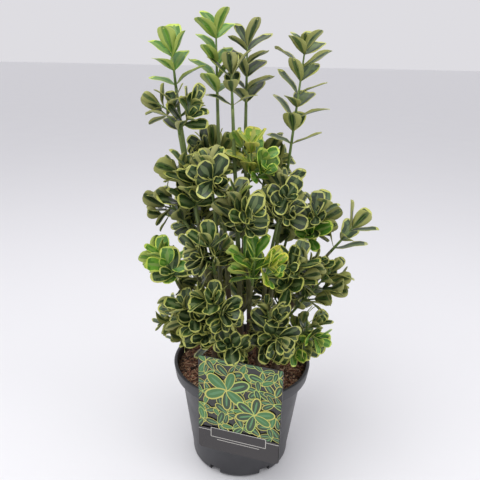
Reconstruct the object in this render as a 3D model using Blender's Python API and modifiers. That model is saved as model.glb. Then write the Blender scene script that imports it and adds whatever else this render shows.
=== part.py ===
"""Potted ovatus aureus euonymus: a variegated shrub with many stems in a round nursery pot.

Metres, +Z up. The origin is the middle of the pot's flat underside, and the front is -Y.
"""
import math
import random

import bmesh
import bpy
from mathutils import Matrix, Vector
from mathutils.bvhtree import BVHTree

MM = 0.001
UP = Vector((0, 0, 1))

# Clearance between neighbouring solids
GAP = 0.3 * MM

# Pot: outer radii and heights of its wall, from rim to foot
POT_HEIGHT = 150 * MM
RIM_RADIUS = 95 * MM
RIM_WIDTH = 4.5 * MM
COLLAR_HEIGHT = 17 * MM
COLLAR_RADIUS = 93 * MM
WALL_TOP_RADIUS = 85 * MM
WALL_FOOT_RADIUS = 69.5 * MM
FOOT_RADIUS = 66.5 * MM
FOOT_HEIGHT = 10 * MM
POT_WALL = 2 * MM
POT_BASE = 3 * MM
NOTCHES = 6
NOTCH_WIDTH = 16 * MM
NOTCH_DEPTH = 6 * MM
TURNED_STEPS = 36

# Growing medium: its level in the pot, and how much lower it lies at the wall
MEDIUM_LEVEL = 141 * MM
MEDIUM_FLAT_RADIUS = 62 * MM
MEDIUM_SAG = 3 * MM

# Card hung on the rim: its lower right corner is nearest the viewer
CARD_WIDTH = 107 * MM
CARD_HEIGHT = 137 * MM
CARD_THICKNESS = 1.0 * MM
CARD_CORNER = 4 * MM
CARD_LEFT_OF_RIM = 26 * MM
CARD_TURN = math.radians(17)
CARD_CENTRE_HEIGHT = 137 * MM
HOOK_WIDTH = 20 * MM
HOOK_DROP = 7 * MM

# Stems and boughs: radii of a stem at its foot, above the flare and at its tip, and of a bough
FOOT_FLARE = 6.5 * MM
STEM_RADIUS = 4.2 * MM
TIP_RADIUS = 1.9 * MM
BOUGH_RADIUS = 2.6 * MM
STRAIGHT_END = 5 * MM

# Twigs and leaves
SHOOT_RADIUS = 1.9 * MM
TWIG_RADIUS = 1.5 * MM
TWIG_LENGTH = 24 * MM
LEAF_THICKNESS = 1.1 * MM
LEAF_WIDTH = 0.56
LEAF_RIDGE = 0.34
LEAF_SHANK = (0.26, 0.32)
LEAF_SHOULDER = (0.72, 0.5)
NODE_SPACING = 17 * MM
ROSETTE_SPACING = 5 * MM
LEAF_FLOOR = POT_HEIGHT + 5 * MM
SPACE_GAP = 0.5 * MM
LEAF_FITS = (1.0, 0.84, 0.7)

# Stems: foot on the medium in millimetres, and the mass of foliage that the stem ends in
STEMS = {
    "left": ((-38, 2), "left_crown"),
    "middle_left": ((-18, 24), "middle_left_crown"),
    "middle_right": ((10, 24), "middle_right_crown"),
    "right": ((34, 6), "right_shoot"),
    "front_left": ((-27, -24), "left_centre_upper"),
    "front": ((-3, -16), "middle_front_crown"),
    "front_right": ((22, -28), "right_centre_upper"),
    "right_wing": ((47, -12), "right_wing_tip"),
    "back_left": ((-34, 36), "back_left_middle"),
    "back": ((-2, 46), "back_middle"),
    "back_right": ((33, 36), "back_right_middle"),
}

# Masses of foliage, in millimetres: the stem each grows from, the height where its bough leaves that
# stem, the tip of its leading shoot, the shoot's length and outward slope, the reach of its leaves,
# their pairs, side twigs and length. A fork of 0 is the stem's own top, and a length of 0 is a mass
# with no bough, whose shoot starts on the stem's side.
MASSES = {
    "left_crown": ("left", 0, (-90, 12, 552), 40, 0.10, 38, 3, 0, 38),
    "left_shoulder": ("left", 392, (-86, -10, 497), 38, 0.15, 40, 3, 1, 37),
    "middle_left_crown": ("middle_left", 0, (-39, 22, 574), 74, 0.03, 38, 4, 0, 39),
    "middle_front_crown": ("front", 0, (-20, 0, 530), 40, 0.05, 34, 3, 0, 34),
    "middle_right_crown": ("middle_right", 0, (-2, 30, 562), 70, 0.00, 40, 4, 0, 37),
    "right_shoot": ("right", 0, (66, 20, 558), 145, 0.10, 40, 6, 0, 38),
    "bright_centre": ("front", 330, (6, -6, 446), 45, 0.10, 36, 3, 1, 36),
    "left_upper": ("left", 300, (-69, -24, 420), 46, 0.18, 46, 3, 2, 40),
    "left_wing": ("left", 255, (-97, -4, 378), 34, 0.70, 34, 2, 1, 38),
    "left_centre_upper": ("front_left", 0, (-42, -44, 428), 44, 0.14, 40, 3, 2, 38),
    "centre_upper": ("front", 285, (-10, -58, 396), 46, 0.24, 40, 3, 2, 38),
    "right_centre_upper": ("front_right", 0, (48, -28, 403), 46, 0.20, 42, 3, 2, 38),
    "right_wing_tip": ("right_wing", 0, (136, -10, 348), 42, 0.75, 38, 3, 0, 38),
    "right_wing_mid": ("right_wing", 262, (94, -2, 366), 44, 0.25, 40, 3, 1, 38),
    "right_wing_low": ("right_wing", 215, (112, -18, 292), 0, 0.70, 36, 3, 1, 36),
    "left_low": ("left", 212, (-102, -30, 312), 42, 0.45, 40, 3, 2, 38),
    "left_centre_low": ("front_left", 235, (-42, -62, 342), 44, 0.26, 40, 3, 2, 38),
    "centre_low": ("front", 225, (12, -70, 330), 44, 0.30, 40, 3, 2, 38),
    "right_centre_low": ("front_right", 215, (64, -50, 316), 44, 0.25, 40, 3, 2, 38),
    "left_bottom": ("front_left", 168, (-74, -48, 250), 0, 0.50, 42, 3, 2, 38),
    "centre_rosette": ("front_left", 198, (-36, -82, 276), 0, 0.80, 36, 2, 1, 36),
    "front_rosette": ("front", 168, (-16, -86, 222), 0, 0.90, 38, 3, 1, 36),
    "right_centre_bottom": ("front_right", 165, (38, -74, 246), 0, 0.60, 40, 3, 2, 38),
    "right_bottom": ("right_wing", 163, (94, -30, 220), 0, 0.80, 36, 3, 1, 36),
    "left_foot": ("left", 165, (-90, -6, 222), 0, 0.80, 38, 3, 1, 36),
    "back_left_bottom": ("back_left", 168, (-66, 66, 250), 0, 0.60, 44, 3, 2, 40),
    "back_bottom": ("back", 170, (-2, 92, 252), 0, 0.60, 44, 3, 2, 40),
    "back_right_bottom": ("back_right", 168, (70, 62, 254), 0, 0.60, 44, 3, 2, 40),
    "back_left_middle": ("back_left", 0, (-70, 58, 350), 48, 0.30, 46, 3, 2, 41),
    "back_middle": ("back", 0, (-2, 78, 350), 50, 0.30, 46, 3, 2, 41),
    "back_right_middle": ("back_right", 0, (68, 54, 350), 48, 0.30, 46, 3, 2, 41),
    "back_left_upper": ("middle_left", 318, (-44, 46, 438), 46, 0.20, 42, 3, 2, 39),
    "back_right_upper": ("middle_right", 318, (28, 48, 432), 46, 0.20, 42, 3, 2, 39),
}


def clear_scene():
    """Remove what the scene starts with."""
    for obj in list(bpy.data.objects):
        bpy.data.objects.remove(obj, do_unlink=True)


def new_collection(name):
    collection = bpy.data.collections.new(name)
    bpy.context.scene.collection.children.link(collection)
    return collection


def new_material(name, colour, roughness):
    material = bpy.data.materials.new(name)
    material.use_nodes = True
    shader = material.node_tree.nodes["Principled BSDF"]
    shader.inputs["Base Color"].default_value = (*colour, 1)
    shader.inputs["Roughness"].default_value = roughness
    shader.inputs["Metallic"].default_value = 0
    material.diffuse_color = (*colour, 1)
    return material


def new_object(name, mesh, material, collection):
    obj = bpy.data.objects.new(name, mesh)
    obj.data.materials.clear()
    obj.data.materials.append(material)
    collection.objects.link(obj)
    return obj


def evaluated_mesh(obj):
    """The object's mesh with its modifiers or bevel, closed at its seams."""
    graph = bpy.context.evaluated_depsgraph_get()
    graph.update()
    mesh = bpy.data.meshes.new_from_object(obj.evaluated_get(graph))
    work = bmesh.new()
    work.from_mesh(mesh)
    bmesh.ops.remove_doubles(work, verts=work.verts, dist=0.001 * MM)
    bmesh.ops.recalc_face_normals(work, faces=work.faces)
    work.to_mesh(mesh)
    work.free()
    return mesh


def cut(obj, cutter):
    """Cut obj by cutter, which stays in its own collection as a guide."""
    cutter.hide_render = True
    cutter.display_type = "WIRE"
    boolean = obj.modifiers.new("cut_" + cutter.name, "BOOLEAN")
    boolean.operation = "DIFFERENCE"
    boolean.object = cutter


def turned(name, profile, material, collection):
    """Turn a profile of (radius, height) points about the Z axis."""
    mesh = bpy.data.meshes.new(name)
    points = [(radius, 0, height) for radius, height in profile]
    mesh.from_pydata(points, [(i, i + 1) for i in range(len(points) - 1)], [])
    obj = new_object(name, mesh, material, collection)
    screw = obj.modifiers.new("turn", "SCREW")
    screw.steps = TURNED_STEPS
    screw.render_steps = TURNED_STEPS
    screw.use_merge_vertices = True
    screw.merge_threshold = 0.01 * MM
    return obj


def wall_radius(height):
    """Outer radius of the pot's wall below the collar."""
    rise = (height - FOOT_HEIGHT) / (POT_HEIGHT - COLLAR_HEIGHT - FOOT_HEIGHT)
    return WALL_FOOT_RADIUS + (WALL_TOP_RADIUS - WALL_FOOT_RADIUS) * rise


def make_pot(parts, cutters):
    """Thin turned shell with a collar at the rim and a foot ring that is notched for drainage."""
    plastic = new_material("pot_plastic", (0.035, 0.035, 0.04), 0.38)
    collar = POT_HEIGHT - COLLAR_HEIGHT
    inner_foot = FOOT_RADIUS - POT_WALL
    profile = [
        (0, POT_BASE),
        (inner_foot, POT_BASE),
        (wall_radius(FOOT_HEIGHT) - POT_WALL, FOOT_HEIGHT),
        (wall_radius(collar) - POT_WALL, collar),
        (RIM_RADIUS - RIM_WIDTH, collar + POT_WALL),
        (RIM_RADIUS - RIM_WIDTH, POT_HEIGHT),
        (RIM_RADIUS - 1 * MM, POT_HEIGHT),
        (RIM_RADIUS, POT_HEIGHT - 1.5 * MM),
        (COLLAR_RADIUS, collar),
        (wall_radius(collar), collar - 1 * MM),
        (wall_radius(FOOT_HEIGHT), FOOT_HEIGHT),
        (FOOT_RADIUS + 1.8 * MM, 3 * MM),
        (FOOT_RADIUS, 0),
        (0, 0),
    ]
    pot = turned("pot", profile, plastic, parts)
    for number in range(NOTCHES):
        angle = 2 * math.pi * number / NOTCHES
        radius = FOOT_RADIUS - NOTCH_DEPTH + NOTCH_WIDTH / 2
        bpy.ops.mesh.primitive_cube_add(size=1)
        cutter = bpy.context.object
        cutter.name = f"notch_{number + 1}"
        cutter.data.transform(Matrix.Diagonal((NOTCH_WIDTH, NOTCH_WIDTH, 2 * FOOT_HEIGHT, 1)))
        cutter.rotation_euler.z = angle
        cutter.location = (radius * math.cos(angle), radius * math.sin(angle), 0)
        bpy.context.collection.objects.unlink(cutter)
        cutters.objects.link(cutter)
        cut(pot, cutter)
    return pot


def make_medium(parts):
    """Bark and wood fibre that fills the pot, flat where the stems stand and lower at the wall."""
    bark = new_material("bark_chips", (0.36, 0.21, 0.13), 0.9)
    inset = POT_WALL + GAP
    collar = POT_HEIGHT - COLLAR_HEIGHT
    edge_level = MEDIUM_LEVEL - MEDIUM_SAG
    profile = [
        (0, POT_BASE + GAP),
        (FOOT_RADIUS - inset - NOTCH_DEPTH / 2, POT_BASE + GAP),
        (wall_radius(FOOT_HEIGHT) - inset, FOOT_HEIGHT + GAP),
        (wall_radius(collar) - inset, collar),
        (RIM_RADIUS - RIM_WIDTH - GAP, collar + POT_WALL + 2 * GAP),
        (RIM_RADIUS - RIM_WIDTH - GAP, edge_level),
        (MEDIUM_FLAT_RADIUS, MEDIUM_LEVEL),
        (0, MEDIUM_LEVEL),
    ]
    return turned("growing_medium", profile[::-1], bark, parts)


def card_frame():
    """Matrix of the card: X along its width, Y into the pot, Z up, at the middle of its back."""
    turn = Matrix.Rotation(-CARD_TURN, 4, "Z")
    inward = turn @ Vector((0, 1, 0))
    along = turn @ Vector((1, 0, 0))
    place = inward * -(RIM_RADIUS + GAP) + along * CARD_LEFT_OF_RIM
    place.z = CARD_CENTRE_HEIGHT
    return Matrix.Translation(place) @ turn


def box_mesh(size, centre):
    work = bmesh.new()
    bmesh.ops.create_cube(work, size=1, matrix=Matrix.Translation(centre) @ Matrix.Diagonal((*size, 1)))
    mesh = bpy.data.meshes.new("box")
    work.to_mesh(mesh)
    work.free()
    return mesh


def make_card(parts, material):
    """Printed plastic card with round corners, on a hook that goes over the rim at its middle."""
    back = CARD_THICKNESS / 2
    mesh = box_mesh((CARD_WIDTH, CARD_THICKNESS, CARD_HEIGHT), (0, -back, 0))
    card = new_object("label_card", mesh, material, parts)
    work = bmesh.new()
    work.from_mesh(mesh)
    corners = [e for e in work.edges if abs(e.verts[0].co.y - e.verts[1].co.y) > back]
    bmesh.ops.bevel(work, geom=corners, offset=CARD_CORNER, segments=3, affect="EDGES", profile=0.5)
    work.to_mesh(mesh)
    work.free()
    # The rim curves away from the card's back, so the hook is as deep as that and the rim together
    curve_away = RIM_RADIUS - math.sqrt(RIM_RADIUS ** 2 - (CARD_LEFT_OF_RIM + HOOK_WIDTH / 2) ** 2)
    reach = GAP + curve_away + RIM_WIDTH + 2 * CARD_THICKNESS
    top = POT_HEIGHT - CARD_CENTRE_HEIGHT + GAP
    bridge = box_mesh((HOOK_WIDTH, reach + back, CARD_THICKNESS), (0, (reach - back) / 2, top + back))
    leg_height = HOOK_DROP + CARD_THICKNESS
    leg = box_mesh(
        (HOOK_WIDTH, CARD_THICKNESS, leg_height), (0, reach - back, top + CARD_THICKNESS - leg_height / 2)
    )
    join_by_boolean(card, [bridge, leg], material)
    card.data.transform(card_frame())
    return card


def join_by_boolean(obj, meshes, material):
    """Fuse the meshes onto obj with one Boolean union, and keep the one closed outer shell."""
    group = new_collection(obj.name + "_joined")
    for number, mesh in enumerate(meshes):
        new_object(f"{obj.name}_{number}", mesh, material, group)
    boolean = obj.modifiers.new("join", "BOOLEAN")
    boolean.operation = "UNION"
    boolean.operand_type = "COLLECTION"
    boolean.collection = group
    joined = evaluated_mesh(obj)
    keep_outer_shell(joined)
    obj.modifiers.remove(boolean)
    old = obj.data
    obj.data = joined
    bpy.data.meshes.remove(old)
    for part in list(group.objects):
        bpy.data.objects.remove(part, do_unlink=True)
    bpy.data.collections.remove(group)


def keep_outer_shell(mesh):
    """Drop loose scraps and the walls of sealed hollows: all but the largest connected shell."""
    work = bmesh.new()
    work.from_mesh(mesh)
    bmesh.ops.triangulate(work, faces=work.faces)
    bmesh.ops.dissolve_degenerate(work, edges=work.edges, dist=0.002 * MM)
    left = set(work.faces)
    shells = []
    while left:
        shell = {left.pop()}
        edge = list(shell)
        while edge:
            face = edge.pop()
            near = {f for e in face.edges for f in e.link_faces} - shell
            shell |= near
            edge.extend(near)
        left -= shell
        shells.append(shell)
    largest = max(shells, key=len)
    extra = [face for shell in shells if shell is not largest for face in shell]
    bmesh.ops.delete(work, geom=extra, context="FACES")
    work.to_mesh(mesh)
    work.free()


def tube_mesh(points, radii):
    """A limb: a curve through the points with its own radius at each, made a closed mesh."""
    curve = bpy.data.curves.new("limb", "CURVE")
    curve.dimensions = "3D"
    curve.bevel_depth = 1
    curve.bevel_resolution = 0
    curve.use_fill_caps = True
    spline = curve.splines.new("POLY")
    spline.points.add(len(points) - 1)
    for place, point, radius in zip(spline.points, points, radii):
        place.co = (*point, 1)
        place.radius = radius
    obj = bpy.data.objects.new("limb", curve)
    bpy.context.scene.collection.objects.link(obj)
    mesh = evaluated_mesh(obj)
    bpy.data.objects.remove(obj, do_unlink=True)
    bpy.data.curves.remove(curve)
    return mesh


def tree_of(mesh):
    return BVHTree.FromPolygons([v.co for v in mesh.vertices], [p.vertices for p in mesh.polygons])


def bend(start, start_way, end, end_way, count):
    """Points on a smooth curve that leaves start along start_way and reaches end along end_way."""
    first = start + start_way * STRAIGHT_END
    last = end - end_way * STRAIGHT_END
    pull = (last - first).length * 0.36
    a, b, c, d = first, first + start_way * pull, last - end_way * pull, last
    points = [start]
    for i in range(count):
        t = i / (count - 1)
        points.append(
            a * (1 - t) ** 3 + b * (3 * t * (1 - t) ** 2) + c * (3 * t * t * (1 - t)) + d * t ** 3
        )
    points.append(end)
    return points


def shoot_way(tip, slope):
    """Direction of a leading shoot: up, and outward from the plant's middle by its slope."""
    outward = Vector((tip.x, tip.y, 0)).normalized()
    return (UP + outward * slope).normalized()


def point_at_height(points, radii, height):
    """The point, direction and radius of a limb where it passes a height."""
    for i in range(len(points) - 1):
        low, high = points[i], points[i + 1]
        if low.z <= height <= high.z:
            t = (height - low.z) / (high.z - low.z)
            return low.lerp(high, t), (high - low).normalized(), radii[i] * (1 - t) + radii[i + 1] * t
    raise ValueError("the limb doesn't pass this height")


def seat_on(tree, point, way, radius):
    """Move a limb's start out along its way until its round end clears the limb that carries it."""
    side = way.orthogonal().normalized()
    ring = [Matrix.Rotation(math.pi * k / 6, 3, way) @ side * radius for k in range(12)]
    ring += [offset / 2 for offset in ring] + [Vector((0, 0, 0))]
    step = 0.05 * MM
    start = point.copy()
    for _ in range(400):
        start += way * step
        gaps = []
        for offset in ring:
            place, normal, _, distance = tree.find_nearest(start + offset)
            outside = (start + offset - place).dot(normal) > 0
            gaps.append(distance if outside else -distance)
        if min(gaps) >= GAP:
            return start
    raise ValueError("no clear start")


def make_limbs(parts):
    """Stems from the medium to their tips, then the boughs that leave them. Returns each mass's
    shoot as (start, tip), and the limbs' meshes."""
    bark = new_material("bark", (0.16, 0.15, 0.07), 0.7)
    stems, meshes, shoots = {}, {}, {}
    for name, ((foot_x, foot_y), top) in STEMS.items():
        _, _, tip, length, slope, *_ = MASSES[top]
        tip = Vector(tip) * MM
        way = shoot_way(tip, slope)
        end = tip - way * length * MM
        foot = Vector((foot_x * MM, foot_y * MM, MEDIUM_LEVEL + GAP))
        points = bend(foot, UP, end, way, 7)
        points.insert(1, foot + UP * 2 * MM)
        radii = [FOOT_FLARE, FOOT_FLARE * 0.9, STEM_RADIUS]
        count = len(points) - 3
        radii += [STEM_RADIUS + (TIP_RADIUS - STEM_RADIUS) * (i + 1) / count for i in range(count)]
        mesh = tube_mesh(points, radii)
        new_object("stem_" + name, mesh, bark, parts)
        stems[name] = (points, radii, tree_of(mesh))
        meshes["stem_" + name] = mesh
        shoots[top] = (end + way * GAP, tip)
    for name, (stem, fork, tip, length, slope, *_) in MASSES.items():
        if not fork:
            continue
        points, radii, tree = stems[stem]
        tip = Vector(tip) * MM
        leave, along, radius = point_at_height(points, radii, fork * MM)
        way = shoot_way(tip, slope)
        end = tip - way * length * MM
        if not length:
            way = (tip - leave).normalized()
            shoots[name] = (seat_on(tree, leave, way, SHOOT_RADIUS), tip)
            continue
        aside = end - leave
        aside = (aside - along * aside.dot(along)).normalized()
        start_way = (aside + along * 0.8).normalized()
        thick = min(BOUGH_RADIUS, radius * 0.8)
        start = seat_on(tree, leave, start_way, thick)
        route = bend(start, start_way, end, way, 5)
        count = len(route) - 1
        taper = [thick + (TIP_RADIUS - thick) * i / count for i in range(count + 1)]
        mesh = tube_mesh(route, taper)
        new_object("bough_" + name, mesh, bark, parts)
        meshes["bough_" + name] = mesh
        shoots[name] = (end + way * GAP, tip)
    return shoots, meshes


def on_segment(point, segment):
    """Nearest point of a segment."""
    start, end = segment
    run = end - start
    t = (point - start).dot(run) / run.length_squared
    return start + run * max(0.0, min(1.0, t))


def dividing_planes(name, shoots):
    """Planes halfway between a mass's shoot and each other shoot, as (point, direction away)."""
    planes = []
    for other, segment in shoots.items():
        if other == name:
            continue
        far = segment[0]
        for _ in range(40):
            near = on_segment(far, shoots[name])
            far = on_segment(near, segment)
        away = (far - near).normalized()
        planes.append(((near + far) / 2 - away * SPACE_GAP, away))
    return planes


def leaf_blade():
    """Unit leaf along +X with its upper side +Z: a flat six-sided sphere, widest past its middle."""
    work = bmesh.new()
    quarter = Matrix.Rotation(math.pi / 2, 4, "Z")
    bmesh.ops.create_uvsphere(work, u_segments=6, v_segments=2, radius=1, matrix=quarter)
    for vert in work.verts:
        x, y, z = vert.co
        if abs(z) > 0.5:
            vert.co = (LEAF_RIDGE, 0, z / 2)
        elif abs(y) > 0.1:
            along, wide = LEAF_SHOULDER if x > 0 else LEAF_SHANK
            vert.co = (along, math.copysign(wide, y), 0)
        else:
            vert.co = (1 if x > 0 else 0, 0, 0)
    mesh = bpy.data.meshes.new("leaf_blade")
    work.to_mesh(mesh)
    work.free()
    return mesh


def place_leaf(blade, root, way, upper, length):
    """A copy of the blade with its root at root, along way, and its upper side towards upper."""
    across = upper.cross(way).normalized()
    normal = way.cross(across)
    frame = Matrix((way * length, across * length * LEAF_WIDTH, normal * LEAF_THICKNESS)).transposed()
    mesh = blade.copy()
    mesh.transform(Matrix.Translation(root) @ frame.to_4x4())
    return mesh


def cone_mesh(start, end, radius, end_radius):
    """A straight three-sided tapering twig."""
    run = end - start
    middle = Matrix.Translation((start + end) / 2) @ run.to_track_quat("Z", "Y").to_matrix().to_4x4()
    work = bmesh.new()
    bmesh.ops.create_cone(
        work, cap_ends=True, segments=3, radius1=radius, radius2=end_radius, depth=run.length, matrix=middle
    )
    mesh = bpy.data.meshes.new("twig")
    work.to_mesh(mesh)
    work.free()
    return mesh


class Space:
    """The room that one mass of foliage may fill."""

    def __init__(self, name, shoots, reach, obstacles):
        self.shoot = shoots[name]
        self.planes = dividing_planes(name, shoots)
        self.reach = reach
        self.obstacles = obstacles
        self.taken = []

    def holds(self, mesh):
        for vert in mesh.vertices:
            if vert.co.z < LEAF_FLOOR:
                return False
            if (vert.co - on_segment(vert.co, self.shoot)).length > self.reach:
                return False
            if any((vert.co - point).dot(away) > 0 for point, away in self.planes):
                return False
        tree = tree_of(mesh)
        return not any(other.overlap(tree) for other in self.obstacles + self.taken)

    def leaves_that_fit(self, blade, leaves):
        """Meshes of one twig's leaves: each is tried smaller where it doesn't fit, then skipped."""
        kept = []
        for root, along, upper, length in leaves:
            for fit in LEAF_FITS:
                mesh = place_leaf(blade, root, along, upper, length * fit)
                if self.holds(mesh):
                    kept.append(mesh)
                    break
                bpy.data.meshes.remove(mesh)
        self.taken += [tree_of(mesh) for mesh in kept]
        return kept


def grow_pairs(start, end, nodes, turn, leaf, rng):
    """Opposite pairs of leaves down a twig from its tip, each a quarter turn on from the last.
    Yields each leaf as (root, way, upper side, length)."""
    way = (end - start).normalized()
    side = way.orthogonal().normalized()
    for node in range(nodes):
        back = ROSETTE_SPACING * min(node, 1) + NODE_SPACING * max(node - 1, 0)
        place = end - way * (2 * MM + back)
        spread = math.radians((34, 56, 64)[min(node, 2)] + rng.uniform(-8, 8))
        turn += math.pi / 2 + rng.uniform(-0.2, 0.2)
        for half in (0, math.pi):
            out = Matrix.Rotation(turn + half, 3, way) @ side
            tilt = spread + rng.uniform(-0.14, 0.14)
            along = way * math.cos(tilt) + out * math.sin(tilt)
            upper = way * math.sin(tilt) - out * math.cos(tilt)
            size = leaf * rng.uniform(0.86, 1.08) * (0.9 if node == 0 else 1)
            yield place - along * 0.5 * MM, along, upper, size


def grow_mass(name, shoots, obstacles, blade, leaf_green, parts):
    """One mass: its leading shoot, side twigs in the axils of its pairs, and their leaves, fused."""
    _, _, _, _, _, reach, pairs, twigs, leaf = MASSES[name]
    start, tip = shoots[name]
    rng = random.Random("mass " + name)
    space = Space(name, shoots, reach * MM, obstacles)
    turn = rng.uniform(0, math.pi)
    pieces = []
    shoot = cone_mesh(start, tip, SHOOT_RADIUS, TWIG_RADIUS * 0.8)
    pieces += space.leaves_that_fit(blade, grow_pairs(start, tip, pairs + 1, turn, leaf * MM, rng))
    way = (tip - start).normalized()
    for number in range(twigs):
        foot = tip - way * (ROSETTE_SPACING + NODE_SPACING * (number + 0.8))
        side = Matrix.Rotation(turn + math.pi * number + rng.uniform(0.4, 1.2), 3, way) @ way.orthogonal()
        twig_tip = foot + (way * 0.75 + side.normalized()).normalized() * TWIG_LENGTH
        twig = cone_mesh(foot, twig_tip, TWIG_RADIUS, TWIG_RADIUS * 0.7)
        if (foot - start).dot(way) > 0 and space.holds(twig):
            pieces.append(twig)
            pieces += space.leaves_that_fit(blade, grow_pairs(foot, twig_tip, 2, turn, leaf * MM * 0.9, rng))
    mass = new_object("foliage_" + name, shoot, leaf_green, parts)
    join_by_boolean(mass, pieces, leaf_green)
    return mass


def main():
    clear_scene()
    parts = new_collection("potted_euonymus")
    cutters = new_collection("cutters")
    make_pot(parts, cutters)
    make_medium(parts)
    card = make_card(parts, new_material("printed_card", (0.05, 0.09, 0.03), 0.3))
    shoots, limbs = make_limbs(parts)
    leaf_green = new_material("leaf_green", (0.07, 0.14, 0.03), 0.35)
    obstacles = [tree_of(mesh) for mesh in limbs.values()] + [tree_of(card.data)]
    blade = leaf_blade()
    for name in MASSES:
        grow_mass(name, shoots, obstacles, blade, leaf_green, parts)
    bpy.data.meshes.remove(blade)


main()
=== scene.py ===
import math
import random
from collections import namedtuple

import bmesh
import bpy
import numpy as np
from mathutils import Matrix, Vector


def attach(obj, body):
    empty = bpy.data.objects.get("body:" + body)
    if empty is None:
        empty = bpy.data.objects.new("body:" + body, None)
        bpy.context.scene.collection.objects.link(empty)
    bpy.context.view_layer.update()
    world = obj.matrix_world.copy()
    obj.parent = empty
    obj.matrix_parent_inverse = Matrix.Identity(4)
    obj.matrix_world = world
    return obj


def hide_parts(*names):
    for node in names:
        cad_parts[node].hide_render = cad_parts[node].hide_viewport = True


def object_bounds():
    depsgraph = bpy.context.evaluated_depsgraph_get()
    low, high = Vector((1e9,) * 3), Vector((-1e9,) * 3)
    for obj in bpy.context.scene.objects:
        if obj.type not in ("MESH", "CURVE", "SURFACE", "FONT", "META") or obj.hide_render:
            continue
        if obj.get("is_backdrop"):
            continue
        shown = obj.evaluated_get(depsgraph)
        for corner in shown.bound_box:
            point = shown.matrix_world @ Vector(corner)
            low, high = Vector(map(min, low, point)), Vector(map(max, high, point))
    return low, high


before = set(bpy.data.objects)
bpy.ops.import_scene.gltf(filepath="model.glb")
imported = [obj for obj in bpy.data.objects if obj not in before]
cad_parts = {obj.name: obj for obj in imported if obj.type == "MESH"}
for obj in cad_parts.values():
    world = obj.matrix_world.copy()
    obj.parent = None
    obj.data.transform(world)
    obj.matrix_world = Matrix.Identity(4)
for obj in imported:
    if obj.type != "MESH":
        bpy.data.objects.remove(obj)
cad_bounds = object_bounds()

# Studio: a plain pale floor in a pale surround, under soft light from above and from the right.
# The camera stands in front of the plant and looks down on it from a little below its top.
MM = 0.001
CAMERA_PLACE = Vector((-6.1, -615.3, 546.1)) * MM
CAMERA_DOWN = math.radians(19.77)
CAMERA_ROLL = 0.02
LENS_MM = 37.81
SENSOR_MM = 36
NEAR_LIMIT = 10 * MM
SURROUND_COLOUR = (0.86, 0.85, 0.89)
SURROUND_STRENGTH = 0.85
LIGHT_TARGET = Vector((0, 0, 300)) * MM
FLOOR_SIZE = 80
FLOOR_DROP = 0.5 * MM
FLOOR_COLOUR = (0.84, 0.84, 0.855)
NOISE_DETAIL = 4
ROUGHNESS_BAND = (0.3, 0.7)
COLOUR_BAND = (0.35, 0.65)

camera_data = bpy.data.cameras.new("camera")
camera_data.sensor_fit = "HORIZONTAL"
camera_data.sensor_width = SENSOR_MM
camera_data.lens = LENS_MM
camera_data.clip_start = NEAR_LIMIT
camera = bpy.data.objects.new("camera", camera_data)
bpy.context.scene.collection.objects.link(camera)
camera.matrix_world = (
    Matrix.Translation(CAMERA_PLACE)
    @ Matrix.Rotation(math.pi / 2 - CAMERA_DOWN, 4, "X")
    @ Matrix.Rotation(CAMERA_ROLL, 4, "Z")
)
bpy.context.scene.camera = camera
bpy.context.scene.view_settings.view_transform = "Standard"

surround = bpy.data.worlds.new("studio")
surround.use_nodes = True
background = surround.node_tree.nodes["Background"]
background.inputs["Color"].default_value = (*SURROUND_COLOUR, 1)
background.inputs["Strength"].default_value = SURROUND_STRENGTH
bpy.context.scene.world = surround


def add_softbox(name, place, size, watts):
    """A square softbox of a size in metres, turned to the middle of the plant."""
    data = bpy.data.lights.new(name, "AREA")
    data.size = size
    data.energy = watts
    light = bpy.data.objects.new(name, data)
    facing = (LIGHT_TARGET - Vector(place)).to_track_quat("-Z", "Y")
    light.matrix_world = Matrix.Translation(place) @ facing.to_matrix().to_4x4()
    bpy.context.scene.collection.objects.link(light)


add_softbox("softbox_above", (-0.5, -0.5, 1.7), size=1.4, watts=16)
add_softbox("softbox_right", (1.5, -0.7, 1.0), size=1.2, watts=7)


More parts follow.
